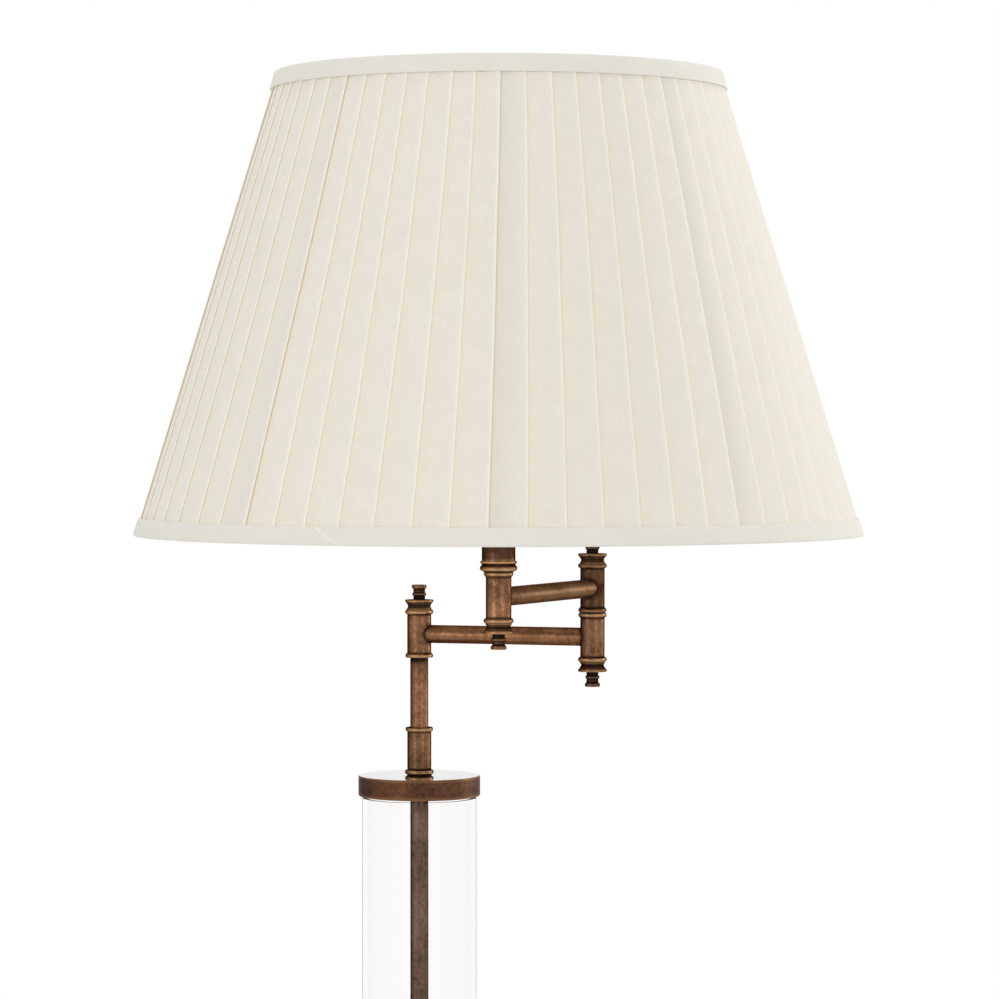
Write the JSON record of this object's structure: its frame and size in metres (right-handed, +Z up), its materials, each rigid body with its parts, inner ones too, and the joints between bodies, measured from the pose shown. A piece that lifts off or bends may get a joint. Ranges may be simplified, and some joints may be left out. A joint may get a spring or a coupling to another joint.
{
  "type": "floor lamp",
  "caption": "Floor lamp with a round base, a glass column round a centre rod, a double swing arm and a knife-pleated tapered shade.",
  "frame": {"origin": "on the floor, at the centre of the underside of the base's felt, under the column's axis", "axes": "+Z up along the column; -Y towards the viewer of the usual front, where the shade hangs in front of the column; +X to that viewer's right, where the elbow is"},
  "size_m": [0.4544, 0.5415, 1.5524],
  "materials": {
    "bronze": "antique brushed bronze",
    "bronze_plate": "antique bronze, brushed round the rim",
    "bronze_dark": "dark antique bronze",
    "iron": "as cast",
    "felt": "pressed felt",
    "glass": "clear, polished",
    "clear_rubber": "clear silicone",
    "brass": "plain turned",
    "zinc": "zinc plated",
    "washer": "hard fibre",
    "flex": "smooth sheath",
    "holder_black": "moulded phenolic",
    "ceramic": "unglazed",
    "opal_glass": "opal",
    "white_wire": "white enamel",
    "shade_cloth": "knife-pleated silk",
    "shade_lining": "smooth lining",
    "shade_tape": "bias tape"
  },
  "bodies": {
    "root": {"base_cover": "bronze", "base_weight": "iron", "base_felt": "felt", "cable_gland": "holder_black", "rod_washer": "zinc", "rod_nut": "brass", "lower_plate": "bronze_plate", "lower_gasket": "clear_rubber", "glass_tube": "glass", "upper_gasket": "clear_rubber", "upper_plate": "bronze_plate", "tie_rod": "bronze_dark", "post_collar": "bronze", "neck_tube": "bronze", "column_washer": "washer", "column_pivot": "brass", "column_flex": "flex"},
    "lower_arm": {"column_knuckle": "bronze", "column_finial": "bronze", "lower_arm_tube": "bronze", "elbow_lower_knuckle": "bronze", "elbow_lower_finial": "bronze", "elbow_washer": "washer", "elbow_pivot": "brass", "lower_arm_flex": "flex"},
    "upper_arm": {"elbow_upper_knuckle": "bronze", "elbow_upper_finial": "bronze", "upper_arm_tube": "bronze", "socket_knuckle": "bronze", "socket_finial": "bronze", "upper_arm_flex": "flex", "riser_nipple": "brass", "riser_collar": "bronze", "riser_sleeve": "bronze_dark", "holder_cap": "bronze", "holder_nut": "brass", "holder_skirt": "holder_black", "holder_insert": "ceramic", "holder_shell": "brass", "holder_contact": "brass", "lower_shade_ring": "holder_black", "upper_shade_ring": "holder_black", "bulb_cap": "zinc", "bulb_glass": "opal_glass", "shade_spider": "white_wire", "bottom_ring_wire": "white_wire", "top_ring_wire": "white_wire", "shade_struts": "white_wire", "shade_lining": "shade_lining", "shade_cover": "shade_cloth", "bottom_tape": "shade_tape", "top_tape": "shade_tape"}
  },
  "joints": [
    {"name": "column_swivel", "type": "hinge", "parent": "root", "child": "lower_arm", "pos_m": [0, 0, 1.19505], "axis": [0, 0, 1], "range_deg": [-170, 170]},
    {"name": "elbow_swivel", "type": "hinge", "parent": "lower_arm", "child": "upper_arm", "pos_m": [0.11438, -0.03628, 1.2271], "axis": [0, 0, 1], "range_deg": [-69, 266]}
  ]
}
